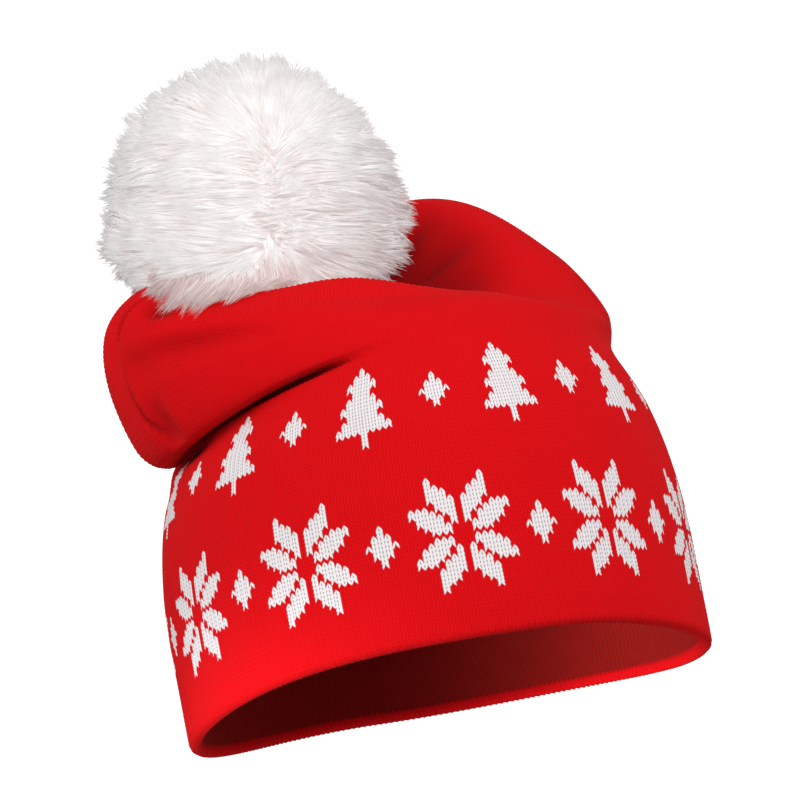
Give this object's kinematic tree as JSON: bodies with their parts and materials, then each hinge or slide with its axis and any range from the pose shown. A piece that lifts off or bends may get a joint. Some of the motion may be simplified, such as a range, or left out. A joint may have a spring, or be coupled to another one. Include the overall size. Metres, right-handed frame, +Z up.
{
  "type": "knitted pompom hat",
  "caption": "Red double-layer knitted hat with a white patterned band, open at the rim for a head, slouching to one side, with a large white yarn pompom tied on at its gathered top.",
  "frame": {"origin": "middle of the rim opening, where the hat sits on a head", "axes": "+Z up through the crown, -Y towards the front of the hat, +X towards the viewer's right from the front"},
  "size_m": [0.1688, 0.1911, 0.2144],
  "materials": {
    "red_knit": "fine-gauge knit with a soft sheen",
    "white_yarn": "soft cut yarn",
    "tie_yarn": "twisted yarn"
  },
  "bodies": {
    "root": {"knit_crown": "red_knit", "pompom": "white_yarn", "pompom_tie": "tie_yarn"}
  },
  "joints": []
}
